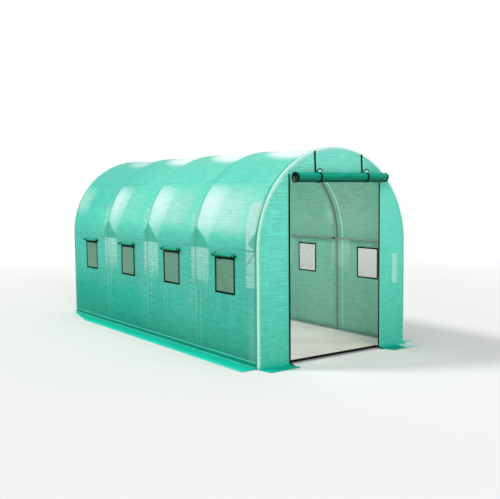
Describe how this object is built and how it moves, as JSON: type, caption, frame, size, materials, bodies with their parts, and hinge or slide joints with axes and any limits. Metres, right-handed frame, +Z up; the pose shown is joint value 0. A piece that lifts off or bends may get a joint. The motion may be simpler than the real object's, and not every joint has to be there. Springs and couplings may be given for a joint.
{
  "type": "polytunnel greenhouse",
  "caption": "Walk-in polytunnel greenhouse: steel hoops under a woven green sheet, with netted side windows, a rolled-up door, ground flaps and a laid floor.",
  "frame": {"origin": "on the ground at the middle of the plan", "axes": "+Z up; the door is in the -Y end, and the tunnel runs along Y; +X is to the right of someone who looks in through the door"},
  "size_m": [2.2, 4.4, 1.9998],
  "materials": {
    "tube_steel": "satin grey galvanised tube",
    "clamp_plastic": "matte dark moulded plastic",
    "woven_cover": "translucent woven polyethylene sheet, satin",
    "rolled_cover": "rolled woven polyethylene sheet, satin",
    "pale_piping": "pale mint welted sleeve, satin",
    "dark_binding": "dark green webbing tape",
    "window_net": "grey-green insect net",
    "floor_board": "matte off-white sheet",
    "threshold_rubber": "matte dark strip",
    "toggle_plastic": "matte white moulded plastic"
  },
  "bodies": {
    "root": {"hoop_1": "tube_steel", "hoop_2": "tube_steel", "hoop_3": "tube_steel", "hoop_4": "tube_steel", "hoop_5": "tube_steel", "ridge_rail": "tube_steel", "left_side_rail": "tube_steel", "right_side_rail": "tube_steel", "left_ground_rail": "tube_steel", "right_ground_rail": "tube_steel", "front_ground_rail": "tube_steel", "back_ground_rail": "tube_steel", "diagonal_braces": "tube_steel", "ridge_clamps": "clamp_plastic", "side_clamps": "clamp_plastic", "front_sleeve": "pale_piping", "back_sleeve": "pale_piping", "roof_bay_1": "woven_cover", "roof_bay_2": "woven_cover", "roof_bay_3": "woven_cover", "roof_bay_4": "woven_cover", "left_wall": "woven_cover", "right_wall": "woven_cover", "back_panel": "woven_cover", "front_left_panel": "woven_cover", "front_right_panel": "woven_cover", "front_gable_panel": "woven_cover", "left_ground_flap": "woven_cover", "right_ground_flap": "woven_cover", "front_left_flap": "woven_cover", "front_right_flap": "woven_cover", "back_flap": "woven_cover", "door_roll": "rolled_cover", "left_window_flap_rolls": "rolled_cover", "right_window_flap_rolls": "rolled_cover", "door_ties": "dark_binding", "door_trims": "dark_binding", "left_window_bindings": "dark_binding", "right_window_bindings": "dark_binding", "left_window_nets": "window_net", "right_window_nets": "window_net", "floor": "floor_board", "threshold": "threshold_rubber", "window_ties": "dark_binding", "door_toggles": "toggle_plastic"}
  },
  "joints": []
}
